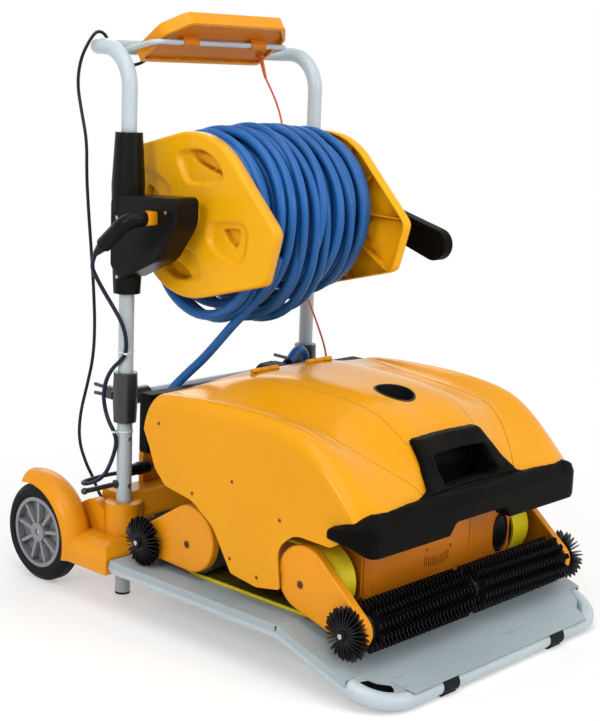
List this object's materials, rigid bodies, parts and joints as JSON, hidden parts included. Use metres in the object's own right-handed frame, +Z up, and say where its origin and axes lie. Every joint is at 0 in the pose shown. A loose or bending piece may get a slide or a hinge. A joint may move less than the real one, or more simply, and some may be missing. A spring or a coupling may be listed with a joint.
{
  "type": "pool cleaner",
  "caption": "Tracked pool-cleaning robot on a tubular wheeled trolley with a cable reel, crank and handlebar power supply.",
  "frame": {"origin": "bottom centre of the object without its loose cords, on the ground", "axes": "+Z up, -Y the robot's front, X across; the reel's crank is on +X"},
  "size_m": [0.8405, 1.2199, 1.3322],
  "materials": {
    "tube": "satin grey powder coat",
    "tray_metal": "satin grey sheet",
    "black_rubber": "matte",
    "tyre": "matte",
    "rim_grey": "grey moulded",
    "steel": "plain",
    "orange_plastic": "glossy moulded",
    "orange_underside": "moulded",
    "tub_orange": "glossy moulded",
    "yellow_cover": "glossy moulded",
    "black_plastic": "fine grain",
    "grey_ring": "moulded",
    "track_rubber": "ribbed",
    "wheel_plastic": "moulded",
    "brush_rubber": "soft",
    "blue_cable": "smooth sheath",
    "navy_lead": "smooth sheath",
    "orange_cord": "smooth sheath",
    "black_cord": "smooth sheath",
    "screw_steel": "plated",
    "tie_white": "plain"
  },
  "bodies": {
    "root": {"base_frame": "tube", "lower_posts": "tube", "upper_handle": "tube", "cross_tube": "tube", "supply_cradle": "tube", "tray": "tray_metal", "rubber_feet": "black_rubber", "wheel_axle": "steel", "hub_axles": "steel", "rear_chassis": "orange_plastic", "reel_brackets": "orange_plastic", "supply_case": "orange_plastic", "reel_socket": "orange_plastic", "supply_base": "orange_underside", "body_tub": "tub_orange", "left_side_cover": "yellow_cover", "right_side_cover": "yellow_cover", "top_cover": "yellow_cover", "mid_sleeves": "black_plastic", "cord_hooks": "black_plastic", "front_bumper": "black_plastic", "rear_bumper": "black_plastic", "cable_swivel": "black_plastic", "elbow_plug": "black_plastic", "inline_connector": "black_plastic", "mains_plug": "black_plastic", "filter_basket": "black_plastic", "pump_motor": "black_plastic", "tracks": "track_rubber", "main_cable": "blue_cable", "reel_lead": "navy_lead", "control_cord": "orange_cord", "supply_gland": "orange_cord", "mains_cord": "black_cord", "mains_coil": "black_cord", "screws": "screw_steel", "cable_ties": "tie_white"},
    "left_wheel": {"left_tyre": "tyre", "left_rim": "rim_grey"},
    "right_wheel": {"right_tyre": "tyre", "right_rim": "rim_grey"},
    "reel": {"reel_flanges": "orange_plastic", "reel_drum": "orange_plastic", "cable_winding": "blue_cable", "crank_arm": "black_plastic"},
    "grip": {"crank_grip": "black_plastic"},
    "hatch": {"lid": "yellow_cover", "outlet_ring": "grey_ring"},
    "button": {"power_button": "black_plastic"},
    "rotor": {"impeller": "black_plastic"},
    "front_carrier": {"front_arms": "yellow_cover"},
    "rear_carrier": {"rear_arms": "yellow_cover"},
    "front_left_roller": {"front_left_brush": "brush_rubber"},
    "left_front_pulley": {"left_front_track_wheel": "wheel_plastic"},
    "front_right_roller": {"front_right_brush": "brush_rubber"},
    "right_front_pulley": {"right_front_track_wheel": "wheel_plastic"},
    "rear_left_roller": {"rear_left_brush": "brush_rubber"},
    "left_rear_pulley": {"left_rear_track_wheel": "wheel_plastic"},
    "rear_right_roller": {"rear_right_brush": "brush_rubber"},
    "right_rear_pulley": {"right_rear_track_wheel": "wheel_plastic"}
  },
  "joints": [
    {"name": "left_wheel_turn", "type": "hinge", "parent": "root", "child": "left_wheel", "pos_m": [-0.374, 0.48325, 0.1175], "axis": [1, 0, 0], "continuous": true},
    {"name": "right_wheel_turn", "type": "hinge", "parent": "root", "child": "right_wheel", "pos_m": [0.374, 0.48325, 0.1175], "axis": [1, 0, 0], "continuous": true},
    {"name": "reel_turn", "type": "hinge", "parent": "root", "child": "reel", "pos_m": [0, 0.16225, 0.89], "axis": [1, 0, 0], "continuous": true},
    {"name": "grip_fold", "type": "hinge", "parent": "reel", "child": "grip", "pos_m": [0.3615, -0.06344, 0.821], "axis": [0, 0.2924, -0.9563], "range_deg": [0, 90]},
    {"name": "lid_open", "type": "hinge", "parent": "root", "child": "hatch", "pos_m": [0, 0.04675, 0.546], "axis": [-1, 0, 0], "range_deg": [0, 45]},
    {"name": "button_press", "type": "slide", "parent": "root", "child": "button", "axis": [0, -0.5592, -0.829], "range_m": [0, 0.0015], "stiffness_N_per_m": 400, "springref_m": -0.001},
    {"name": "impeller_turn", "type": "hinge", "parent": "root", "child": "rotor", "pos_m": [0, -0.26075, 0.445], "axis": [0, 0, 1], "continuous": true},
    {"name": "front_carrier_lift", "type": "hinge", "parent": "root", "child": "front_carrier", "pos_m": [0, -0.33175, 0.199], "axis": [-1, 0, 0], "range_deg": [0, 12]},
    {"name": "rear_carrier_lift", "type": "hinge", "parent": "root", "child": "rear_carrier", "pos_m": [0, 0.00525, 0.199], "axis": [1, 0, 0], "range_deg": [0, 12]},
    {"name": "left_rear_pulley_turn", "type": "hinge", "parent": "root", "child": "left_rear_pulley", "pos_m": [-0.301, 0.00525, 0.199], "axis": [1, 0, 0], "continuous": true},
    {"name": "left_front_pulley_turn", "type": "hinge", "parent": "root", "child": "left_front_pulley", "pos_m": [-0.301, -0.33175, 0.199], "axis": [1, 0, 0], "continuous": true},
    {"name": "front_left_roller_turn", "type": "hinge", "parent": "front_carrier", "child": "front_left_roller", "pos_m": [-0.2, -0.47575, 0.141], "axis": [1, 0, 0], "continuous": true},
    {"name": "rear_left_roller_turn", "type": "hinge", "parent": "rear_carrier", "child": "rear_left_roller", "pos_m": [-0.2, 0.13025, 0.179], "axis": [1, 0, 0], "continuous": true},
    {"name": "right_rear_pulley_turn", "type": "hinge", "parent": "root", "child": "right_rear_pulley", "pos_m": [0.301, 0.00525, 0.199], "axis": [1, 0, 0], "continuous": true},
    {"name": "right_front_pulley_turn", "type": "hinge", "parent": "root", "child": "right_front_pulley", "pos_m": [0.301, -0.33175, 0.199], "axis": [1, 0, 0], "continuous": true},
    {"name": "front_right_roller_turn", "type": "hinge", "parent": "front_carrier", "child": "front_right_roller", "pos_m": [0.2, -0.47575, 0.141], "axis": [1, 0, 0], "continuous": true},
    {"name": "rear_right_roller_turn", "type": "hinge", "parent": "rear_carrier", "child": "rear_right_roller", "pos_m": [0.2, 0.13025, 0.179], "axis": [1, 0, 0], "continuous": true}
  ],
  "couplings": [
    {"joint": "left_front_pulley_turn", "follows": "left_rear_pulley_turn", "ratio": 1},
    {"joint": "front_left_roller_turn", "follows": "left_rear_pulley_turn", "ratio": 1},
    {"joint": "rear_left_roller_turn", "follows": "left_rear_pulley_turn", "ratio": 1},
    {"joint": "right_front_pulley_turn", "follows": "right_rear_pulley_turn", "ratio": 1},
    {"joint": "front_right_roller_turn", "follows": "right_rear_pulley_turn", "ratio": 1},
    {"joint": "rear_right_roller_turn", "follows": "right_rear_pulley_turn", "ratio": 1}
  ]
}
